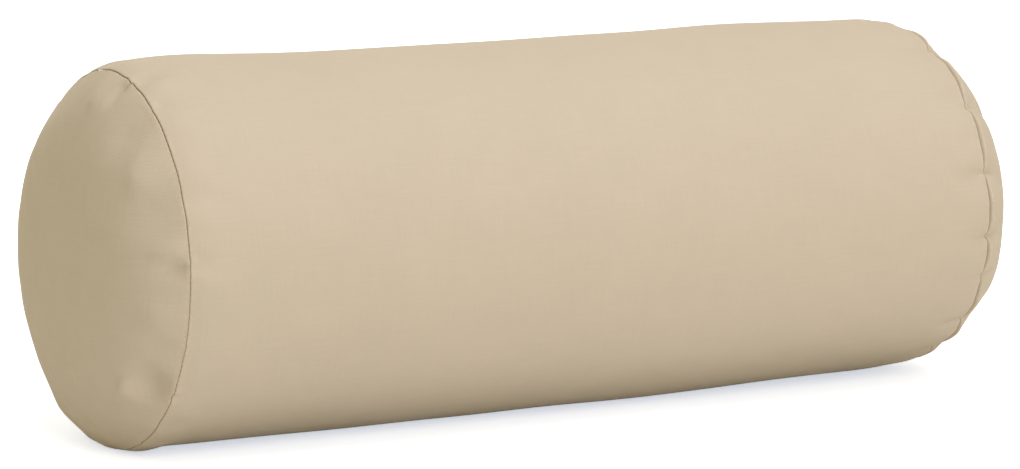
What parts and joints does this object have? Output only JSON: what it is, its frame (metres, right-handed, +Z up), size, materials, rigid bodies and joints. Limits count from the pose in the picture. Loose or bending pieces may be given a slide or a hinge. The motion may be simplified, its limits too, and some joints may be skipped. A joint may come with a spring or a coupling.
{
  "type": "bolster pillow",
  "caption": "Round roll cushion with domed end panels, a removable sewn cover closed by a zip at the back, and a foam and fibre filling in an inner liner.",
  "frame": {"origin": "middle of the flat that the roll settles on, at its underside", "axes": "+X along the roll, +Z up, +Y towards the side that carries the zip"},
  "size_m": [0.552, 0.205, 0.1999],
  "materials": {
    "cover_fabric": "plain woven, matt",
    "sewing_thread": "spun polyester thread",
    "zip_tape": "woven tape",
    "zip_teeth": "nylon",
    "zip_metal": "nickel plated, satin",
    "label": "blank satin label",
    "ticking": "plain cotton ticking",
    "fibre": "polyester fibre",
    "foam": "polyurethane foam"
  },
  "bodies": {
    "bolster": {"cover_body": "cover_fabric", "cover_end_left": "cover_fabric", "cover_end_right": "cover_fabric", "seam_thread_left": "sewing_thread", "seam_thread_right": "sewing_thread", "back_seam_thread": "sewing_thread", "zip_stitching": "sewing_thread", "zip_tape_upper": "zip_tape", "zip_tape_lower": "zip_tape", "zip_teeth_upper": "zip_teeth", "zip_teeth_lower": "zip_teeth", "zip_top_stops": "zip_metal", "zip_bottom_stop": "zip_metal", "care_label": "label", "liner_body": "ticking", "liner_end_left": "ticking", "liner_end_right": "ticking", "liner_thread_left": "sewing_thread", "liner_thread_right": "sewing_thread", "liner_closing_stitches": "sewing_thread", "fibre_wrap": "fibre", "end_pad_left": "fibre", "end_pad_right": "fibre", "foam_core": "foam"},
    "zip_slider": {"zip_slider": "zip_metal"},
    "zip_pull": {"zip_pull": "zip_metal"}
  },
  "joints": [
    {"name": "zip_travel", "type": "slide", "parent": "bolster", "child": "zip_slider", "axis": [-1, 0, 0], "range_m": [0, 0.3769], "deforming": ["zip_teeth_upper", "zip_teeth_lower", "zip_tape_upper", "zip_tape_lower"]},
    {"name": "pull_hinge", "type": "hinge", "parent": "zip_slider", "child": "zip_pull", "pos_m": [0.189, 0.09462, 0.05326], "axis": [0, -0.4226, -0.9063], "range_deg": [0, 180]}
  ]
}
